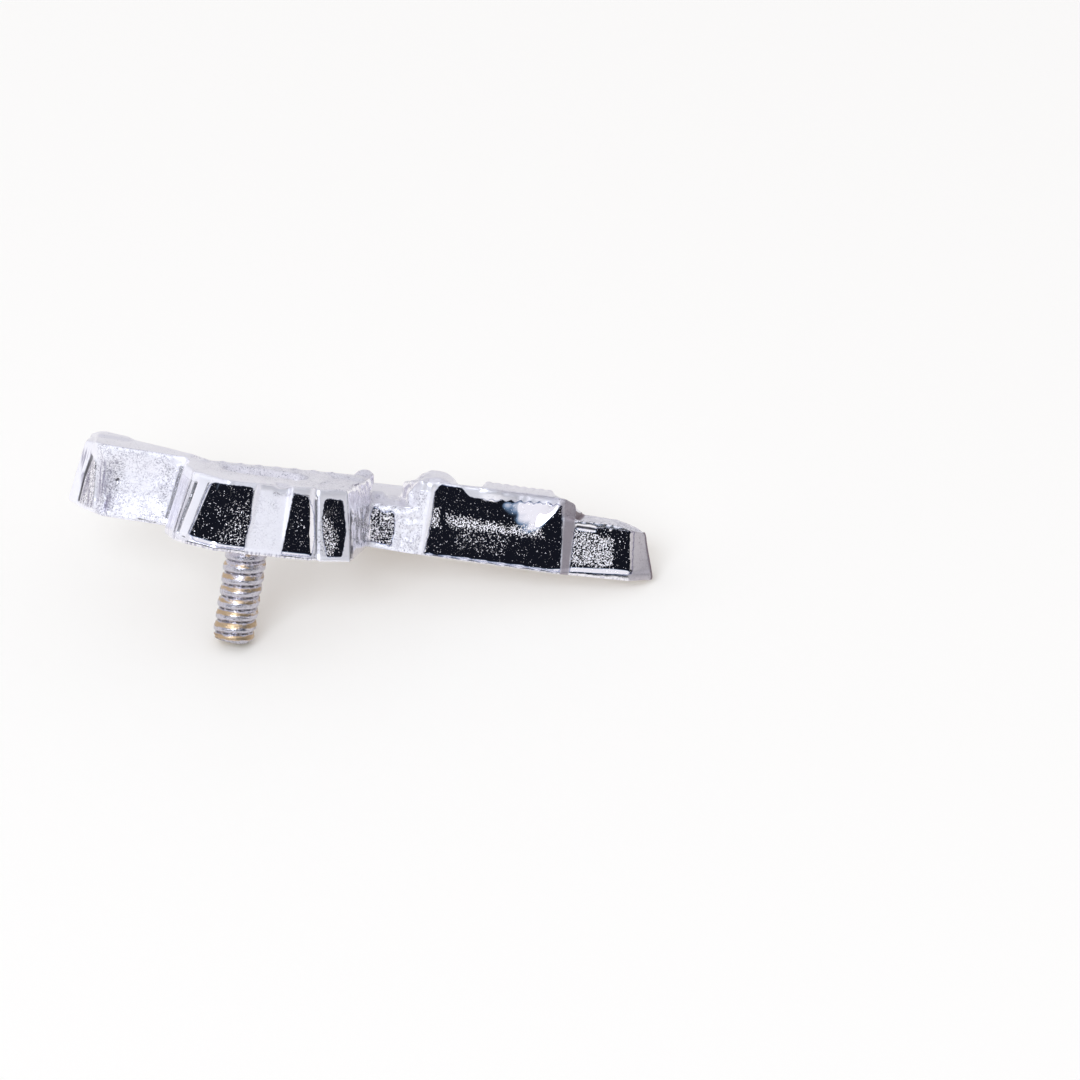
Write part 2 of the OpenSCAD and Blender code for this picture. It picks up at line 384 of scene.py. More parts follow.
RIBS, RIB_START, RIB_SPACING, RIB_RADIUS = 8, 4.50, 0.185, 0.09
HUMP_RADIUS, HUMP_PLACE = 0.50, (3.48, 1.715, 1.08)
rib_places = [(RIB_START + RIB_SPACING * i, 1.69 + 0.020 * i, 1.45) for i in range(RIBS)]
parts += copies(rod(24, RIB_RADIUS), rib_places)
parts += copies(rod(48, HUMP_RADIUS), [HUMP_PLACE])

# the lumps on the stem as x, y, z and radius
stem_lumps = [(2.45, 1.62, 0.80, 0.26), (2.80, 1.50, 0.78, 0.22), (2.05, 1.45, 1.26, 0.24)]
for x, y, z, radius in stem_lumps:
    bpy.ops.mesh.primitive_ico_sphere_add(subdivisions=3, radius=radius)
    parts += copies(only(bpy.context.object), [(x, y, z)])
print(len(parts), "shells make up the sprig")

# %% [markdown]
# ## One casting
#
# The real sprig is cast in one piece, so its lobes flow into each other with small soft
# fillets. A voxel remesh melts the shells into one skin with even small faces, and a smooth
# modifier rounds every edge as wax and polishing do.


# %% Melt and smooth
def apply(obj, kind, **settings):
    """Adds a modifier with its settings and applies it."""
    only(obj)
    modifier = obj.modifiers.new(kind.lower(), kind)
    for name, value in settings.items():
        setattr(modifier, name, value)
    bpy.ops.object.modifier_apply(modifier=modifier.name)


VOXEL = 0.036
only(parts[0])
for obj in parts:
    obj.select_set(True)
bpy.ops.object.join()
casting = bpy.context.object
casting.name = casting.data.name = "cast_sprig_metal"
apply(casting, "REMESH", mode="VOXEL", voxel_size=VOXEL, use_smooth_shade=True)
apply(casting, "SMOOTH", factor=0.5, iterations=12)
print("casting", len(casting.data.vertices), "points")

# %% [markdown]
# ## Carving
#
# What is left is carved by hand in the real wax: the sunk panel, walls that lean in towards
# the top, hollows and soft dents. Here each is a small move of the skin's points, worked out
# from where a point lies. The points are read into arrays, so that one line moves them all.
# Lengths and places are in millimetres, with x to the right, y to the back and z up.


# %% Points
def points(obj):
    """The vertices of obj as an array."""
    co = np.empty(len(obj.data.vertices) * 3)
    obj.data.vertices.foreach_get("co", co)
    return co.reshape(-1, 3)


def move_points(obj, co):
    """Writes the vertices back."""
    obj.data.vertices.foreach_set("co", co.ravel())
    obj.data.update()


co = points(casting)
x, y, z = co.T.copy()
facing = np.empty(co.size)
casting.data.vertex_normals.foreach_get("vector", facing)
facing = facing.reshape(-1, 3)
print("points", len(co), "up to", round(z.max(), 2), "mm high")


# %% Soft limits and noise
def ease(value, low, high):
    """0 below low, 1 above high, and smooth between."""
    t = np.clip((value - low) / (high - low), 0, 1)
    return t * t * (3 - 2 * t)


def window(value, low, high, soft):
    """1 between low and high, with soft edges."""
    return ease(value, low - soft, low + soft) * (1 - ease(value, high - soft, high + soft))


def grain(co, size, seed):
    """Soft noise from -1 to 1 at each point, with lumps of about that size."""
    shift = Vector((seed * 7.3, seed * 3.1, seed * 5.7))
    return np.array([noise.noise(Vector(p) / size + shift) for p in co])


# how far each point lies behind the near edge of the sprig
edge_x = [-3.70, -3.34, -2.96, -2.00, -1.20, -0.62, 0.05, 1.37, 2.06, 2.36, 6.10, 7.52, 8.02]
edge_y = [1.15, 0.50, 0.13, 0.15, -1.12, -1.32, -1.18, -0.81, -0.38, 1.21, 1.51, 1.92, 2.40]
behind = y - np.interp(x, edge_x, edge_y)
near_side = 1 - ease(behind, 0.8, 1.0)
# walls that face the near side squarely, and all that face it a little
front = ease(-facing[:, 1], 0.40, 0.70) * near_side
seen = ease(-facing[:, 1], 0.05, 0.30) * near_side
print("points on the near walls", int((front > 0.5).sum()))

# %% Lean of the walls
# x, then how far the top of the wall leans to the right and to the back there
leans = [
    (-3.80, 0.17, 0.00), (-3.50, 0.17, 0.00), (-3.05, -0.22, 0.00), (-2.60, -0.06, 0.00),
    (-1.90, 0.05, 0.00), (-1.73, 0.20, 0.00), (-1.38, 0.26, 0.00), (-1.22, 0.34, 0.00),
    (-0.90, 0.20, 0.02), (-0.50, 0.05, 0.05), (0.70, 0.00, 0.07), (1.17, -0.18, 0.08),
    (1.40, -0.22, 0.12), (2.06, -0.30, 0.12), (2.50, -0.10, 0.05), (3.30, 0.00, 0.00),
    (5.00, -0.05, 0.02), (6.10, -0.21, 0.05), (6.50, -0.10, 0.08), (7.50, -0.16, 0.10),
    (8.00, -0.40, 0.10),
]
lean_x, to_right, to_back = zip(*leans)
up_share = np.clip(z / LOBE_HEIGHT, 0, 1)
lean_share = up_share * (1 - ease(behind, 0.3, 1.2))
co[:, 0] += np.interp(x, lean_x, to_right) * lean_share
co[:, 1] += np.interp(x, lean_x, to_back) * lean_share
print("the walls lean by up to", max(to_back), "mm to the back")

# %% Lip and left lobe
# how deep each is carved
LIP, HOLLOW, WIDE_GROOVE, THIN_GROOVE = 0.035, 0.11, 0.10, 0.04

# a thick lip along the bottom, where the wax was pressed flat
lip_x = [-3.7, -1.6, -1.2, 1.3, 3.0, 6.0, 6.4, 7.9]
lip_z = [0.13, 0.10, 0.13, 0.09, 0.04, 0.05, 0.13, 0.21]
lip_height = np.interp(x, lip_x, lip_z)
co[:, 1] += LIP * front * ease(z, lip_height - 0.04, lip_height + 0.03)

# left lobe: a hollow wall, a groove beside its chamfer, and a low rounded left end
left = front * (x < -1.55)
hollow = window(z, 0.30, 1.15, 0.25) * window(x, -2.85, -1.85, 0.15)
wide_groove = np.exp(-(((x + 3.02) / 0.08) ** 2)) * window(z, 0.2, 1.2, 0.1)
thin_groove = np.exp(-(((x + 3.44) / 0.05) ** 2)) * window(z, 0.1, 1.0, 0.1)
co[:, 1] += left * (HOLLOW * hollow + WIDE_GROOVE * wide_groove + THIN_GROOVE * thin_groove)
co[:, 2] -= 0.20 * ease(-x, 3.05, 3.75) * up_share
co[:, 2] += 0.03 * window(x, -3.45, -2.60, 0.08) * ease(y, 0.70, 0.90) * ease(z, 1.0, 1.3)
print("lip from", min(lip_z), "to", max(lip_z), "mm high")

# %% Near lobe
# a wide flute that leans back, with a notch over it
FLUTE, NOTCH = 0.12, 0.05
flute = front * (y < -0.5) * window(x, 0.02, 0.68, 0.04)
co[:, 1] += FLUTE * flute * ease(z, 0.05, 1.40)
notch = window(x, 0.36, 0.62, 0.06) * window(y, -1.5, -0.85, 0.08) * ease(z, 1.1, 1.3)
co[:, 2] -= NOTCH * notch
print("points in the flute", int((flute > 0.5).sum()))

# %% Sunk panel
# an oval with a lumpy ground, turned a little: two half rounds with a straight part between
PANEL_DEPTH, PANEL_LUMPS, PANEL_STRAIGHT = 0.15, 0.05, 0.565
PANEL_TURN = math.radians(8)
turn_cos, turn_sin = math.cos(PANEL_TURN), math.sin(PANEL_TURN)
panel_x = (x - 0.10) * turn_cos + (y + 0.04) * turn_sin
panel_y = -(x - 0.10) * turn_sin + (y + 0.04) * turn_cos
oval = np.hypot(np.maximum(np.abs(panel_x) - PANEL_STRAIGHT, 0), panel_y)
panel = ease(-oval, -0.33, -0.25) * (z > 1.0)
co[:, 2] -= (PANEL_DEPTH - PANEL_LUMPS * grain(co, 0.11, 2)) * panel
print("points in the panel", int((panel > 0.5).sum()))

# %% Ribbed leaf and tip
RIDGE, PATCH_BEND, SHOULDER_DROP, TIP_DROP = 0.035, 0.21, 0.30, 0.19
# a ridge down the left edge of the ribbed leaf
co[:, 1] -= RIDGE * front * np.exp(-(((x - 3.38) / 0.05) ** 2)) * ease(z, 0.0, 0.1)
# a patch of its wall that leans back at the upper right, up to a slanting end
patch_low = np.interp(x, [4.70, 5.00, 5.20, 5.80], [0.84, 0.66, 0.52, 0.44])
patch_low += 0.02 * grain(co, 0.16, 11)
patch_end = 5.74 + 0.75 * (z - 1.0)
patch = PATCH_BEND * np.maximum(z - patch_low, 0) ** 2
patch *= ease(x, 4.60, 4.90) * ease(patch_end - x, -0.16, 0.22)
patch *= front * (y > 1.0)
co[:, 1] += patch
# a round shoulder behind its right end
shoulder = ease(x, 5.80, 6.40) * ease(z, 0.9, 1.4) * ease(behind, 0.03, 0.30)
co[:, 2] -= SHOULDER_DROP * shoulder
# the top of the tip falls away to its end
co[:, 2] -= TIP_DROP * ease(x, 7.05, 8.0) * np.clip(z / 1.1, 0, 1)
print("the patch leans back by up to", round(patch.max(), 2), "mm")

# %% Rough places
# stem and tip are the roughest castings, and nothing is quite flat
ROUGH_HEIGHT, WAVE_HEIGHT = 0.035, 0.008
rough_place = window(x, 2.15, 3.30, 0.15) * (y < 2.3) * ease(z, 0.05, 0.3)
neck_wall = front * window(x, 2.20, 2.90, 0.05) * (1 - ease(z, 0.75, 0.85))
rough_place *= 1 - 0.75 * neck_wall
rough_place = np.maximum(rough_place, 0.5 * ease(x, 6.3, 6.6) * ease(z, 0.85, 1.0))
co += facing * (grain(co, 0.13, 3) * ROUGH_HEIGHT * rough_place)[:, None]
co += facing * (grain(co, 0.45, 4) * WAVE_HEIGHT * ease(z, 0.02, 0.1))[:, None]
co[:, 2] = np.maximum(co[:, 2], 0)
move_points(casting, co)
print("carved", len(co), "points")

# %% [markdown]
# ## Finish of the casting
#
# Where it was polished the plating is a mirror, and where it was left as cast it is matte and
# pitted. These differences follow the shape, so each point of the skin carries a few numbers.
# Two of them are distances: how far inside a mirror zone the point lies, and how near to a
# crevice. A distance stays true between points, so the shader can draw a sharp edge from it.
# The others say how polished, pitted, wormy and streaked the surface is, and how much painted
# shade darkens it: in the streaks, on the tops, and warm on the ends. They could be painted by
# hand. Here each zone is drawn as a polygon on the walls, seen from the near side.


# %% Distances on the walls
def from_line(a, b):
    """How far each point lies from the line between two places, given as x and z, in mm."""
    (ax, az), (bx, bz) = a, b
    along = (x - ax) * (bx - ax) + (z - az) * (bz - az)
    along = np.clip(along / ((bx - ax) ** 2 + (bz - az) ** 2), 0, 1)
    return np.hypot(x - ax - along * (bx - ax), z - az - along * (bz - az))


def inside(corners):
    """How far each point lies inside the polygon of x and z corners, in mm."""
    nearest = np.full(len(co), 9.0)
    odd = np.zeros(len(co), bool)
    for (ax, az), (bx, bz) in zip(corners, corners[1:] + corners[:1]):
        nearest = np.minimum(nearest, from_line((ax, az), (bx, bz)))
        if az != bz:
            odd ^= ((az > z) != (bz > z)) & (x < ax + (z - az) / (bz - az) * (bx - ax))
    return np.where(odd, nearest, -nearest)


x, y, z = co.T
# the ribs make the upper edge of the mirror wavy
wave = 0.022 * np.cos(2 * math.pi * (x - RIB_START) / RIB_SPACING)
z = z + wave * window(x, 4.45, 5.95, 0.1) * ease(z, 1.1, 1.3)
print("the mirror's edge waves by", round(wave.max(), 3), "mm")

# %% Mirror zones
# the corners as x, z and radius
mirror_zones = {
    "near lobe left": [
        (-1.18, 0.22, 0.03), (-1.02, 0.10, 0.08), (-0.60, 0.09, 0.30), (-0.04, 0.09, 0.03),
        (-0.03, 0.45, 0.20), (0.01, 0.72, 0.10), (-0.03, 1.00, 0.20), (-0.05, 1.36, 0.03),
        (-0.50, 1.36, 0.30), (-0.84, 1.33, 0.10), (-0.93, 1.24, 0.06),
    ],
    "near lobe right": [
        (0.69, 0.07, 0.02), (1.30, 0.08, 0.08), (1.30, 0.50, 0.30), (1.20, 0.95, 0.40),
        (1.05, 1.27, 0.12), (0.74, 1.33, 0.02),
    ],
    "small block": [
        (1.58, 0.09, 0.04), (1.88, 0.10, 0.06), (1.88, 0.60, 0.40), (1.72, 1.21, 0.08),
        (1.35, 1.25, 0.08), (1.36, 0.80, 0.20), (1.46, 0.40, 0.20),
    ],
    "stem": [
        (2.27, 0.12, 0.05), (2.78, 0.08, 0.05), (2.80, 0.50, 0.10), (2.72, 0.82, 0.05),
        (2.50, 0.74, 0.08), (2.34, 0.86, 0.05), (2.26, 0.70, 0.05),
    ],
    "ribbed leaf": [
        (3.42, 0.04, 0.03), (6.15, 0.05, 0.02), (6.08, 0.70, 0.20), (5.98, 1.38, 0.03),
        (5.20, 1.33, 0.30), (4.16, 1.30, 0.12), (3.98, 1.46, 0.10), (3.56, 1.49, 0.12),
        (3.44, 1.30, 0.10), (3.47, 0.75, 0.20),
    ],
    "tip": [
        (6.32, 0.05, 0.02), (7.30, 0.10, 0.10), (7.56, 0.15, 0.02), (7.47, 0.98, 0.02),
        (6.90, 1.02, 0.20), (6.28, 0.96, 0.02),
    ],
}
depths = [inside([tuple(v) for v in rounded(zone, 3)]) for zone in mirror_zones.values()]
# walls that don't face the near side are put outside every zone
mirror = np.max(depths, axis=0) - 1.5 * (1 - near_side * ease(-facing[:, 1], 0.15, 0.45))
print("mirror zones", len(mirror_zones), "points inside", int((mirror > 0).sum()))

# %% Crevices
# thin lines and one pit, cut a little and painted dark as shade: the ends as x and z,
# and half the width
crevices = [
    ((-3.33, 1.06), (-3.42, 0.62), 0.026), ((-3.42, 0.62), (-3.46, 0.10), 0.020),
    ((-2.22, 0.06), (-1.86, 0.03), 0.012), ((-2.76, 0.73), (-2.72, 0.76), 0.028),
    ((-1.36, 0.15), (-1.24, 0.12), 0.012), ((-1.16, 1.24), (-1.37, 0.20), 0.007),
    ((1.19, 1.20), (1.385, 0.03), 0.012), ((1.92, 0.95), (2.06, 0.05), 0.012),
    ((6.34, 0.985), (6.68, 0.965), 0.026),
]
OUTSIDE = -0.2  # the least distance that is kept, for points well outside
turned_away = 0.3 * (1 - near_side * ease(-facing[:, 1], 0.00, 0.15))
crevice = np.full(len(co), OUTSIDE)
for start, stop, half in crevices:
    crevice = np.maximum(crevice, half - from_line(start, stop) - turned_away)
print("crevices", len(crevices), "points inside", int((crevice > 0).sum()))

# %% Streaks and painted shade
# where the walls are streaked up and down, and painted darker there as shade: on the step,
# under the band of pits, on the lips, on the right side of the block, and in the grooves of
# the left lobe
streak_and_shade = 0.5 * seen * window(x - 0.14 * z, -1.74, -1.40, 0.03) * (1 - ease(z, 1.10, 1.25))
streak_and_shade += 0.8 * front * window(x, 4.0, 5.0, 0.1) * window(z, 0.25, 0.62, 0.08)
streak_and_shade += 0.6 * front * window(x, 3.9, 4.4, 0.1) * window(z, 0.2, 0.5, 0.05)
streak_and_shade += 0.9 * front * window(x, -1.25, 1.30, 0.05) * (1 - ease(z, 0.06, 0.10))
streak_and_shade += 0.6 * front * window(x, 3.30, 7.60, 0.05) * (1 - ease(z, 0.03, 0.07))
streak_and_shade += 0.3 * ease(facing[:, 0], 0.5, 0.8) * window(x, 1.5, 2.4, 0.05)
grooves = window(x + 0.14 * z, -3.40, -3.12, 0.02) + window(x + 0.10 * z, -3.05, -2.80, 0.06)
streak_and_shade += seen * grooves * window(z, 0.1, 1.1, 0.08)
print("streaked points", int((streak_and_shade > 0.1).sum()))

# %% Matte and pitted zones
# a polygon of x and z, softness, polish, pits, worm
zones = [
    # left lobe and the step beside it
    ([(-3.95, -0.1), (-3.06, -0.1), (-3.24, 1.5), (-3.95, 1.5)], 0.03, 0.12, 0.05, 0.10),
    ([(-3.44, 0.08), (-3.12, 0.08), (-3.20, 1.04), (-3.34, 1.04)], 0.03, 0.75, 0.85, 0.60),
    ([(-3.06, -0.1), (-1.72, -0.1), (-1.55, 1.5), (-3.24, 1.5)], 0.03, 0.06, 0.38, 1.00),
    ([(-3.04, 0.1), (-2.74, 0.1), (-2.60, 0.9), (-2.80, 1.2), (-3.16, 1.1)],
     0.10, 0.35, 0.95, 1.00),
    ([(-1.96, 0.1), (-1.74, 0.1), (-1.60, 1.2), (-1.86, 1.2)], 0.06, 0.25, 0.80, 0.90),
    ([(-1.74, -0.1), (-1.38, -0.1), (-1.20, 1.25), (-1.57, 1.25)], 0.02, 0.62, 0.20, 0.30),
    ([(-1.70, 1.25), (-1.10, 1.25), (-1.10, 1.60), (-1.70, 1.60)], 0.02, 0.20, 0.10, 0.20),
    # near lobe
    ([(-1.36, 0.1), (-1.23, 0.1), (-0.90, 1.5), (-1.10, 1.5)], 0.015, 0.30, 0.00, 0.00),
    ([(-0.55, 0.15), (0.06, 0.08), (0.10, 1.10), (-0.40, 0.85)], 0.22, 0.50, 0.48, 0.00),
    ([(0.00, 0.05), (0.69, 0.05), (0.74, 1.36), (0.00, 1.36)], 0.01, 0.08, 0.05, 0.10),
    ([(0.02, 0.12), (0.52, 0.15), (0.50, 1.05), (0.06, 1.25)], 0.10, 0.05, 0.20, 0.60),
    ([(0.34, 1.20), (0.68, 1.22), (0.68, 1.40), (0.34, 1.40)], 0.03, 0.30, 0.75, 0.60),
    ([(1.15, -0.1), (1.36, -0.1), (1.18, 1.30), (1.05, 1.30)], 0.02, 0.42, 0.03, 0.05),
    # small block and stem
    ([(1.38, -0.1), (2.08, -0.1), (1.95, 1.50), (1.20, 1.50)], 0.02, 0.30, 0.05, 0.10),
    ([(1.30, 0.15), (1.70, 0.12), (1.74, 0.45), (1.56, 0.78), (1.34, 0.98)],
     0.07, 0.35, 0.85, 0.00),
    ([(2.06, -0.1), (2.85, -0.1), (2.80, 1.2), (1.80, 1.2)], 0.05, 0.25, 0.45, 0.60),
    ([(2.24, 0.05), (2.82, 0.05), (2.80, 0.90), (2.24, 0.90)], 0.05, 0.25, 0.80, 0.60),
    ([(2.82, -0.1), (3.34, -0.1), (3.34, 1.6), (2.80, 1.6)], 0.04, 0.10, 0.55, 1.00),
    # ribbed leaf, with its band of pits
    ([(3.34, -0.1), (3.46, -0.1), (3.46, 1.6), (3.30, 1.6)], 0.02, 0.05, 0.00, 0.10),
    ([(3.42, 0.04), (6.15, 0.05), (5.98, 1.60), (3.44, 1.60)], 0.03, 0.72, 0.02, 0.00),
    ([(-1.00, 1.30), (5.98, 1.30), (5.98, 1.60), (-1.00, 1.60)], 0.02, 0.35, 0.03, 0.00),
    ([(3.80, 0.66), (4.50, 0.60), (5.70, 0.70), (5.64, 0.94), (5.00, 0.84), (4.50, 0.86),
      (3.72, 0.90)], 0.09, 0.60, 1.00, 0.00),
    ([(3.47, 0.55), (3.66, 0.62), (3.60, 1.02), (3.47, 1.02)], 0.05, 0.60, 0.95, 0.00),
    ([(4.00, 0.25), (5.00, 0.25), (5.00, 0.65), (4.00, 0.65)], 0.10, 0.60, 0.40, 0.00),
    # right end and tip
    ([(6.16, -0.1), (6.31, -0.1), (6.27, 1.6), (6.00, 1.6)], 0.01, 0.30, 0.30, 0.30),
    ([(6.28, 0.20), (7.14, 0.22), (7.10, 0.82), (6.26, 0.94)], 0.06, 0.30, 0.90, 0.00),
]


def paint_on(values, target, share):
    """Moves the values towards the target by a share of the way, in place."""
    values += (target - values) * share


over_panel = (facing[:, 2] > 0.6) * window(x, -1.0, 2.2, 0.3) * ease(y, -0.75, -0.45)
polish = np.full(len(co), 0.72)
pits = 0.10 + 0.22 * ease(facing[:, 2], 0.3, 0.8) + 0.25 * over_panel
worm = 0.15 + 0.4 * over_panel
for corners, soft, polished, pitted, wormy in zones:
    share = np.where(x < -1.3, seen, front) * ease(inside(corners), -soft, soft)
    paint_on(polish, polished, share)
    paint_on(pits, pitted, share)
    paint_on(worm, wormy, share)
print("matte and pitted zones", len(zones))

# %% Ends and tops
# the end of the tip and the right wall of the ribbed leaf are rough, and painted
# a dark warm grey as shade
end = ease(facing[:, 0], 0.35, 0.6) * ease(x, 5.75, 5.9) * (1 - 0.5 * front)
paint_on(polish, 0.15, end)
paint_on(worm, 0.7, end)
paint_on(pits, 0.80, end)
bevel_corners = [(6.17, -0.1), (6.31, -0.1), (6.27, 1.6), (6.01, 1.6)]
bevel = ease(inside(bevel_corners), -0.01, 0.01) * (facing[:, 1] < -0.2)
# painted shade, dark and warm, on the ends that face right and on the bevel wall
painted_warm_shade = end.copy()
paint_on(painted_warm_shade, 0.7, bevel)

# the tops are less polished than the walls, and roughest on the tip
polish -= 0.22 * ease(facing[:, 2], 0.6, 0.85)
rough_top = ease(x, 6.2, 6.4) * ease(facing[:, 2], 0.4, 0.8)
paint_on(pits, 0.55, rough_top)
paint_on(worm, 0.8, rough_top)
# painted shade: the faces that look up are painted darker, most from the small block on
painted_top_shade = ease(facing[:, 2], 0.45, 0.80) * (0.6 + 0.4 * ease(x, 1.5, 2.3))
print("polish from", round(polish.min(), 2), "to", round(polish.max(), 2))


# %% Numbers on the skin
def carry(obj, numbers, co):
    """Gives each point of obj its numbers, and its place on the bench as a vector."""
    for name, values in numbers.items():
        layer = obj.data.attributes.new(name, "FLOAT", "POINT")
        values = np.clip(values, OUTSIDE, 1)
        layer.data.foreach_set("value", np.ascontiguousarray(values, dtype=np.float32))
    layer = obj.data.attributes.new("bench", "FLOAT_VECTOR", "POINT")
    layer.data.foreach_set("vector", np.ascontiguousarray(co.ravel(), dtype=np.float32))


numbers = {
    "mirror": mirror, "painted_top_shade": painted_top_shade, "crevice": crevice, "polish": polish, "pits": pits,
    "worm": worm, "painted_warm_shade": painted_warm_shade, "streak_and_shade": streak_and_shade,
}
carry(casting, numbers, co)
# the lines painted dark as shade are real cuts too
CUT_DEPTH = 0.030
co -= facing * (CUT_DEPTH * ease(crevice, -0.025, 0.015))[:, None]
co[:, 2] = np.maximum(co[:, 2], 0)
move_points(casting, co)
casting.data.transform(lay_down)
casting.data.update()
print("each point carries", len(numbers), "numbers")

# %% [markdown]
# ## Plated cast metal
#
# The sprig is a white-plated copper alloy: cast from wax, tumbled, polished on its walls and
# plated. That gives mirrors with soft edges beside matte, pitted skin. A metal's base colour
# is its mirror colour, and the default index of refraction stays. The polish is at a roughness
# of 0.06, and the rest goes up to 0.50. The pits come from noise with a grain of 0.03 mm, as in
# a rough casting. They are matte, so they show white in the dark mirrors, and on the pale walls
# they are painted dark as shade. The worm marks of the unpolished walls come from noise with a
# grain of 0.08 mm. The colour also carries painted shade in streaks and slits, on the tops and
# on the ends, and a painted blue reflection along the mirrors' rims.

# %% Plated metal
plated = bpy.data.materials.new("white_plated_casting")
plated.use_nodes = True
tree = plated.node_tree
shader = tree.nodes["Principled BSDF"]
where = add(tree, "TexCoord", out="Object")
skin = {name: add(tree, "Attribute", out="Fac", attribute_name=name) for name in numbers}

# size of the lumps in mm, detail, roughness and twist
lumps = {
    "ragged": (0.07, 2.0, 0.6, 0.0),
    "pit": (0.030, 1.5, 0.6, 0.3),
    "worm": (0.08, 2.0, 0.6, 0.7),
    "cloud": (0.40, 2.0, 0.6, 0.0),
    "wave": (0.6, 2.0, 0.6, 0.0),
}
noises = {}
for name, (size, detail, rough, twist) in lumps.items():
    look = {"Detail": detail, "Roughness": rough, "Distortion": twist}
    settings = {"Vector": where, "Scale": MM / size, **look}
    noises[name] = add(tree, "TexNoise", settings, out="Fac")
print("numbers", sorted(skin), "noises", sorted(noises))

# %% Mirror and streaks
# the mirror's edge is a little ragged, with a painted blue reflection as a rim just inside it
ragged = add(tree, "Math", {0: noises["ragged"], 1: 0.05, 2: -0.025}, operation="MULTIPLY_ADD")
edge = add(tree, "Math", {0: skin["mirror"], 1: ragged}, operation="ADD")
mirror_edge = {0: edge, 1: -0.008, 2: 0.014}
mirror_share = add(tree, "MapRange", mirror_edge, interpolation_type="SMOOTHSTEP")
matte_share = add(tree, "Math", {0: 1.0, 1: mirror_share}, operation="SUBTRACT")
painted_reflection_rim = add(tree, "MapRange", {0: edge, 1: 0.035, 2: 0.000}, interpolation_type="SMOOTHSTEP")
painted_reflection_rim = add(tree, "Math", {0: painted_reflection_rim, 1: mirror_share}, operation="MULTIPLY")

# streaks: noise drawn out up and down the wall, in the sprig's own frame, about 0.06 mm apart
bench_place = add(tree, "Attribute", out="Vector", attribute_name="bench")
upright = add(tree, "VectorMath", {0: bench_place, 1: (16.0, 16.0, 1.8)}, operation="MULTIPLY")
streak_noise = add(tree, "TexNoise", {"Vector": upright, "Scale": 1.0, "Detail": 2.0}, out="Fac")
contrast = {0: streak_noise, 1: 0.42, 2: 0.62}
streaks_and_shade = add(tree, "MapRange", contrast, interpolation_type="SMOOTHSTEP")
streaks_and_shade = add(tree, "Math", {0: streaks_and_shade, 1: skin["streak_and_shade"]}, operation="MULTIPLY")
# painted shade: on the matte walls the streaks are painted darker, and on the mirrors they only
# roughen
painted_streak_shade = add(tree, "Math", {0: streaks_and_shade, 1: matte_share}, operation="MULTIPLY")
faint_streak = add(tree, "Math", {0: streaks_and_shade, 1: 0.22}, operation="MULTIPLY")
print("mirror and streaks", len(tree.nodes), "nodes")

# %% Specks
# noise above a level that falls where pits are thick
level = add(tree, "Math", {0: skin["pits"], 1: -0.21, 2: 0.70}, operation="MULTIPLY_ADD")
above = add(tree, "Math", {0: noises["pit"], 1: level}, operation="SUBTRACT")
speck = add(tree, "Math", {0: above, 1: 8.0}, operation="MULTIPLY", use_clamp=True)
# painted shade: on the matte walls the pits are painted dark
painted_pit_shade = add(tree, "Math", {0: speck, 1: matte_share}, operation="MULTIPLY")
speck_or_streak = add(tree, "Math", {0: speck, 1: faint_streak}, operation="MAXIMUM")
pale_speck = add(tree, "Math", {0: speck_or_streak, 1: mirror_share}, operation="MULTIPLY")
# lone pits are faint, and crowded ones are bright
crowding = add(tree, "MapRange", {0: skin["pits"], 1: 0.1, 2: 0.9, 3: 0.45, 4: 1.0})
pale_speck = add(tree, "Math", {0: pale_speck, 1: crowding}, operation="MULTIPLY")
print("specks", len(tree.nodes), "nodes")

# %% Worm marks, and painted shade in the slits
# worm marks are the thin lines where a twisted noise crosses its middle, thicker in clouds
from_middle = add(tree, "Math", {0: noises["worm"], 1: 0.5}, operation="SUBTRACT")
from_middle = add(tree, "Math", {0: from_middle}, operation="ABSOLUTE")
line = add(tree, "MapRange", {0: from_middle, 1: 0.06, 2: 0.0}, interpolation_type="SMOOTHSTEP")
clouds = add(tree, "MapRange", {0: noises["cloud"], 1: 0.38, 2: 0.62, 3: 0.25, 4: 1.0})
worm_share = add(tree, "Math", {0: skin["worm"], 1: matte_share}, operation="MULTIPLY")
worm_share = add(tree, "Math", {0: worm_share, 1: clouds}, operation="MULTIPLY")
mark = add(tree, "Math", {0: line, 1: worm_share}, operation="MULTIPLY")
# painted shade: the crevices are painted near-black
slit_shade_edge = {0: skin["crevice"], 1: -0.008, 2: 0.010}
painted_slit_shade = add(tree, "MapRange", slit_shade_edge, interpolation_type="SMOOTHSTEP")
print("worm marks and slits", len(tree.nodes), "nodes")

# %% Colour and gloss
colour = linear("#FAF8FE")
# what is painted over it: where, how thick at most, and in what colour
coats = [
    # painted shade darkens the tops, and a painted blue reflection lies along the mirrors' rims
    (skin["painted_top_shade"], 1.0, "#E2E0E8"), (painted_reflection_rim, 0.80, "#3B5596"), (mark, 0.65, "#7D788F"),
    # painted shade in the pits and in the streaks of the matte walls
    (painted_pit_shade, 0.62, "#565264"), (painted_streak_shade, 0.75, "#857E98"),
    # painted shade, warm and dark on the ends, and near-black in the slits
    (skin["painted_warm_shade"], 1.00, "#6B5862"), (painted_slit_shade, 0.90, "#211F28"),
]
for place, most, paint in coats:
    share = add(tree, "Math", {0: place, 1: most}, operation="MULTIPLY")
    colour = add(tree, "Mix", {0: share, 6: colour, 7: linear(paint)}, out=2, data_type="RGBA")
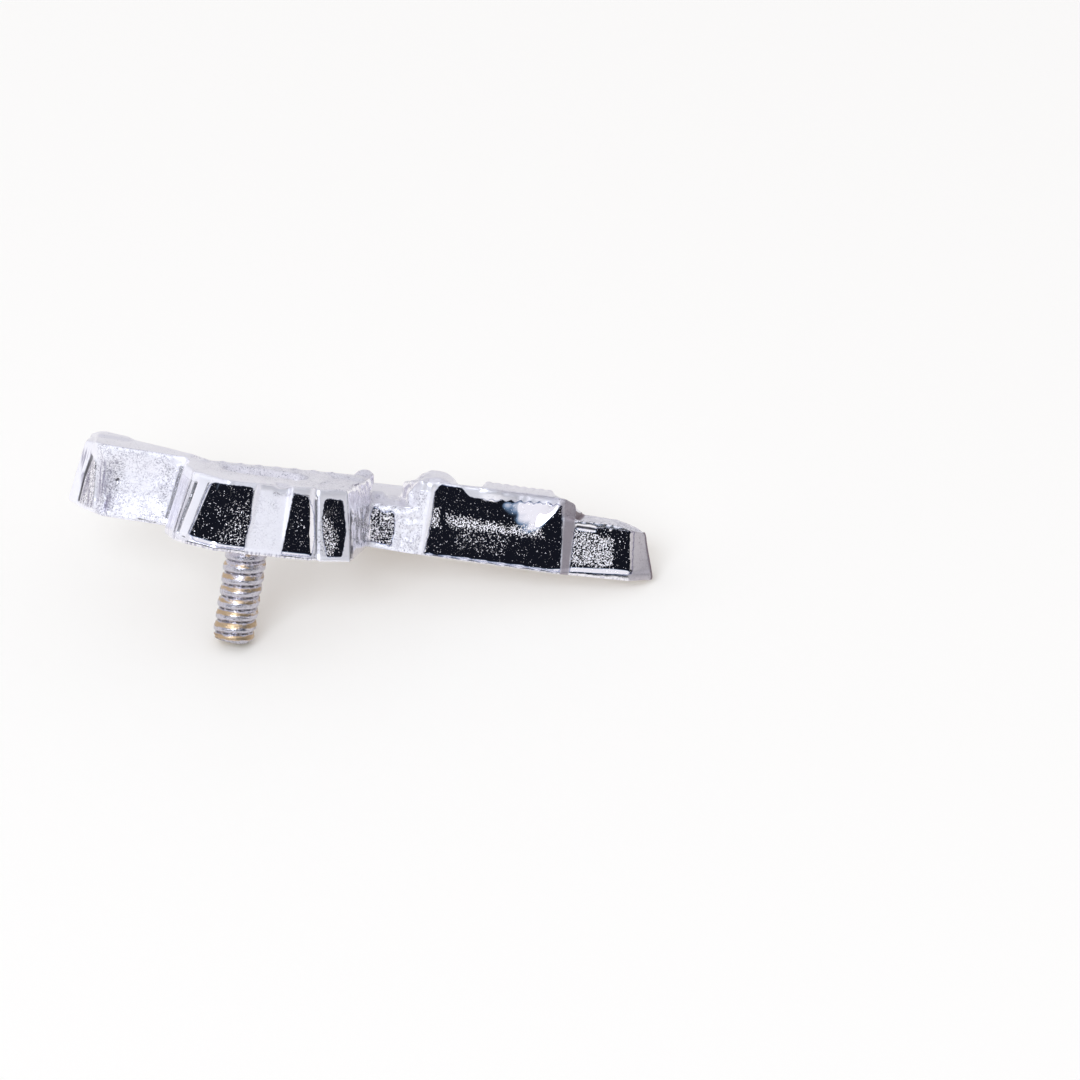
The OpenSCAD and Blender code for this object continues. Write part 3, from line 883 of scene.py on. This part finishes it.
# the mirror is clean but for its specks and its rim
clean = add(tree, "Math", {0: skin["polish"], 1: mirror_share}, operation="MAXIMUM")
for spoiler, most in ((pale_speck, -0.80), (painted_reflection_rim, -0.20)):
    kept = add(tree, "Math", {0: spoiler, 1: most, 2: 1.0}, operation="MULTIPLY_ADD")
    clean = add(tree, "Math", {0: clean, 1: kept}, operation="MULTIPLY")
roughness = add(tree, "MapRange", {0: clean, 1: 0.0, 2: 1.0, 3: 0.50, 4: 0.06})
metallic = add(tree, "MapRange", {0: clean, 1: 0.0, 2: 0.8, 3: 0.15, 4: 1.0})
print("coats of colour", len(coats))

# %% Relief of the casting
# worm marks and specks are real dents, and the polish follows soft waves
DENT_DEPTH, WAVE_DEPTH = 0.02, 0.012
relief = add(tree, "Math", {0: noises["worm"], 1: worm_share}, operation="MULTIPLY")
relief = add(tree, "Math", {0: speck, 1: -0.3, 2: relief}, operation="MULTIPLY_ADD")
dents = add(tree, "Bump", {"Strength": 1.0, "Distance": DENT_DEPTH / MM, "Height": relief})
soft_waves = {"Distance": WAVE_DEPTH / MM, "Height": noises["wave"], "Normal": dents}
waves = add(tree, "Bump", {"Strength": 1.0, **soft_waves})
sockets = {"Base Color": colour, "Roughness": roughness, "Metallic": metallic, "Normal": waves}
for name, socket in sockets.items():
    tree.links.new(socket, shader.inputs[name])
casting.data.materials.clear()
casting.data.materials.append(plated)
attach(casting, "root")
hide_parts("cast_sprig")
print("plated metal", len(tree.nodes), "nodes")

# %% [markdown]
# ## The threaded pin
#
# The pin is turned and screw-cut from wire. It is drawn as on a lathe: one ring of points is
# extruded from the shank's end to the tip, and sized at each step to the radius there. Then
# the thread is cut by moving each point in or out by its place along the helix, with crests a
# little worn and uneven, as a cheap die leaves them.

# %% Lathe
# radii and lengths in millimetres, with heights measured from the casting's flat back
CREST, DEPTH, PITCH = 0.43, 0.045, 0.245
NECK, PIN_LENGTH, SHOULDER = 0.28, 1.9868, 0.02
AROUND, STEPS = 112, 96
SHANK, SHANK_TOP = 0.26, 0.66
circle = {"vertices": AROUND, "radius": SHANK, "location": (0, 0, SHANK_TOP)}
bpy.ops.mesh.primitive_circle_add(fill_type="NGON", **circle)
pin = only(bpy.context.object)
pin.name = pin.data.name = "threaded_pin_metal"
bpy.ops.object.transform_apply(location=True, rotation=False, scale=False)

# radius and height at each step: the shank in the casting, the shoulder, then the thread
turned = [(SHANK, 0.64), (SHANK, 0.30), (SHANK, -0.012)]
turned += [(0.262, -0.015), (0.375, -0.016), (0.38, -SHOULDER)]
for i in range(1, STEPS + 1):
    turned.append((CREST, -SHOULDER - (PIN_LENGTH - 0.03) * i / STEPS))
turned.append((CREST, -PIN_LENGTH))
bpy.ops.object.mode_set(mode="EDIT")
radius_now, height_now = SHANK, SHANK_TOP
for radius, height in turned:
    drop = (0, 0, height - height_now)
    bpy.ops.mesh.extrude_region_move(TRANSFORM_OT_translate={"value": drop})
    if abs(radius - radius_now) > 1e-6:
        grow = radius / radius_now
        bpy.ops.transform.resize(value=(grow, grow, 1))
    radius_now, height_now = radius, height
# two rings and a middle point on the face at the tip
bpy.ops.mesh.inset(thickness=0.06)
bpy.ops.mesh.inset(thickness=0.12)
bpy.ops.mesh.poke()
bpy.ops.mesh.select_all(action="SELECT")
bpy.ops.mesh.normals_make_consistent(inside=False)
bpy.ops.object.mode_set(mode="OBJECT")
print("pin blank", len(pin.data.vertices), "points")

# %% Thread
co = points(pin)
reach = np.hypot(co[:, 0], co[:, 1])
angle = np.arctan2(co[:, 1], co[:, 0])
height = co[:, 2]
# where a point lies in its turn of the thread: 0 on the crest, a half in the groove
phase = (height + NECK + PITCH / 2) / PITCH - angle / (2 * math.pi)
turn = phase - np.round(phase)
groove = np.exp(-(((np.abs(turn) - 0.5) / 0.13) ** 2))
step = ease(turn, 0.02, 0.16)
# marks drawn out round the pin and fine along it
drawn = np.column_stack((co[:, 0] * 0.4, co[:, 1] * 0.4, co[:, 2] * 2.2))
marks = grain(drawn, 0.12, 6)
# the thread runs out at the neck
cut = ease(-height, 0.06, 0.30)
body_radius = np.interp(-height, [0.0, 0.02, NECK], [0.375, 0.38, 0.375])
# crests are worn unevenly, and one flank of each is a step lower
wear = 0.004 + 0.010 * (1 + grain(co, 0.3, 7))
thread_radius = CREST - wear - DEPTH * groove - 0.014 * step
radius = body_radius * (1 - cut) + thread_radius * cut + 0.010 * marks
tip = ease(-height, PIN_LENGTH - 0.09, PIN_LENGTH)
radius -= tip * (0.06 + 0.03 * grain(co, 0.14, 8))
threaded = radius[(cut == 1) & (tip == 0)]
print("thread radius from", round(threaded.min(), 3), "to", round(threaded.max(), 3), "mm")

# %% Cut the thread
# the wall is drawn in to its radius, and never past the crest
wall = (reach > 0.40) | ((height < -0.015) & (reach > 0.36))
keep = np.minimum(radius, CREST) / np.maximum(reach, 1e-6)
co[wall, :2] *= keep[wall, None]
# the face at the tip is drawn in a little and roughened
face_points = (height < -PIN_LENGTH + 1e-4) & ~wall
co[face_points, :2] *= 0.92
co[face_points, 2] += 0.012 * (1 + grain(co[face_points], 0.10, 9))
move_points(pin, co)
only(pin)
bpy.ops.object.shade_smooth_by_angle(angle=math.radians(50))

# numbers for the finish
flank = ease(turn, -0.10, 0.10) * (1 - ease(turn, 0.30, 0.45)) * cut
gold = ease(-height, 0.2, 1.9)
pin_numbers = {"groove": groove * cut, "flank": flank, "gold": gold, "tip": tip}
carry(pin, pin_numbers, co)
pin.data.transform(lay_down)
pin.data.update()
print("points moved", int(wall.sum()), "on the wall and", int(face_points.sum()), "on the face")

# %% [markdown]
# ## Worn steel
#
# The pin is steel wire, turned and screw-cut, with a thin gold-brown film as of worn gilding.
# The eye gets bright grey crests, gold flanks where the film is left, and darker grooves and
# tip. The film is drawn with the flank number, broken up by noise of about 0.3 mm and by
# turning marks. The roughness goes from 0.14 on clean metal to 0.42 where film and grit are
# thick, with grit of 0.05 mm. Real turning marks are too fine to show, so they are drawn about
# 0.04 mm apart, which is two pixels of the picture.

# %% Steel
steel = bpy.data.materials.new("worn_gilt_steel")
steel.use_nodes = True
tree = steel.node_tree
shader = tree.nodes["Principled BSDF"]
where = add(tree, "TexCoord", out="Object")
# turning marks: noise drawn out round the pin and fine along it
bench_place = add(tree, "Attribute", out="Vector", attribute_name="bench")
drawn_out = add(tree, "VectorMath", {0: bench_place, 1: (3.0, 3.0, 24.0)}, operation="MULTIPLY")
fine = {"Vector": drawn_out, "Scale": 1.0, "Detail": 3.0, "Roughness": 0.6}
lines = add(tree, "TexNoise", fine, out="Fac")
broad = {"Vector": where, "Scale": MM / 0.30, "Detail": 3.0, "Roughness": 0.6}
patches = add(tree, "TexNoise", broad, out="Fac")
sandy = {"Vector": where, "Scale": MM / 0.05, "Detail": 2.0, "Roughness": 0.7}
grit = add(tree, "TexNoise", sandy, out="Fac")
skin = {name: add(tree, "Attribute", out="Fac", attribute_name=name) for name in pin_numbers}
print("steel numbers", sorted(skin))

# %% Film, darkening and scores
# the gold film: flank number, how far down the pin, patches and turning marks added up
film = -1.16
for part, weight in ((skin["flank"], 0.55), (skin["gold"], 0.20), (patches, 1.2), (lines, 1.0)):
    film = add(tree, "Math", {0: part, 1: weight, 2: film}, operation="MULTIPLY_ADD")
film = add(tree, "MapRange", {0: film, 1: 0.30, 2: 0.60}, interpolation_type="SMOOTHSTEP")
# darker in the grooves and on the tip, broken up by grit
groove_and_tip_dark = -1.0
for part, weight in ((skin["groove"], 1.0), (grit, 1.9), (skin["tip"], 0.75)):
    groove_and_tip_dark = add(tree, "Math", {0: part, 1: weight, 2: groove_and_tip_dark}, operation="MULTIPLY_ADD")
groove_and_tip_dark = add(tree, "MapRange", {0: groove_and_tip_dark, 1: 0.60, 2: 1.0}, interpolation_type="SMOOTHSTEP")
scores = add(tree, "Math", {0: grit, 1: 0.3, 2: lines}, operation="MULTIPLY_ADD")
scores = add(tree, "MapRange", {0: scores, 1: 0.73, 2: 0.85}, interpolation_type="SMOOTHSTEP")
print("film, dirt and scores", len(tree.nodes), "nodes")

# %% Steel colour and gloss
colour = linear("#C9C6D0")
steel_coats = [(film, 0.85, "#C4A67A"), (scores, 0.45, "#776A60"), (groove_and_tip_dark, 0.75, "#4A473C")]
for place, most, paint in steel_coats:
    share = add(tree, "Math", {0: place, 1: most}, operation="MULTIPLY")
    colour = add(tree, "Mix", {0: share, 6: colour, 7: linear(paint)}, out=2, data_type="RGBA")
rough = add(tree, "Math", {0: film, 1: 0.25, 2: grit}, operation="MULTIPLY_ADD")
rough = add(tree, "MapRange", {0: rough, 1: 0.3, 2: 0.9, 3: 0.14, 4: 0.42})
GRIT_DEPTH = 0.010
relief = add(tree, "Math", {0: grit, 1: lines}, operation="ADD")
grit_bump = add(tree, "Bump", {"Strength": 1.0, "Distance": GRIT_DEPTH / MM, "Height": relief})
shader.inputs["Metallic"].default_value = 1.0
for name, socket in {"Base Color": colour, "Roughness": rough, "Normal": grit_bump}.items():
    tree.links.new(socket, shader.inputs[name])
pin.data.materials.clear()
pin.data.materials.append(steel)
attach(pin, "root")
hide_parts("threaded_pin")
print("worn steel", len(tree.nodes), "nodes")
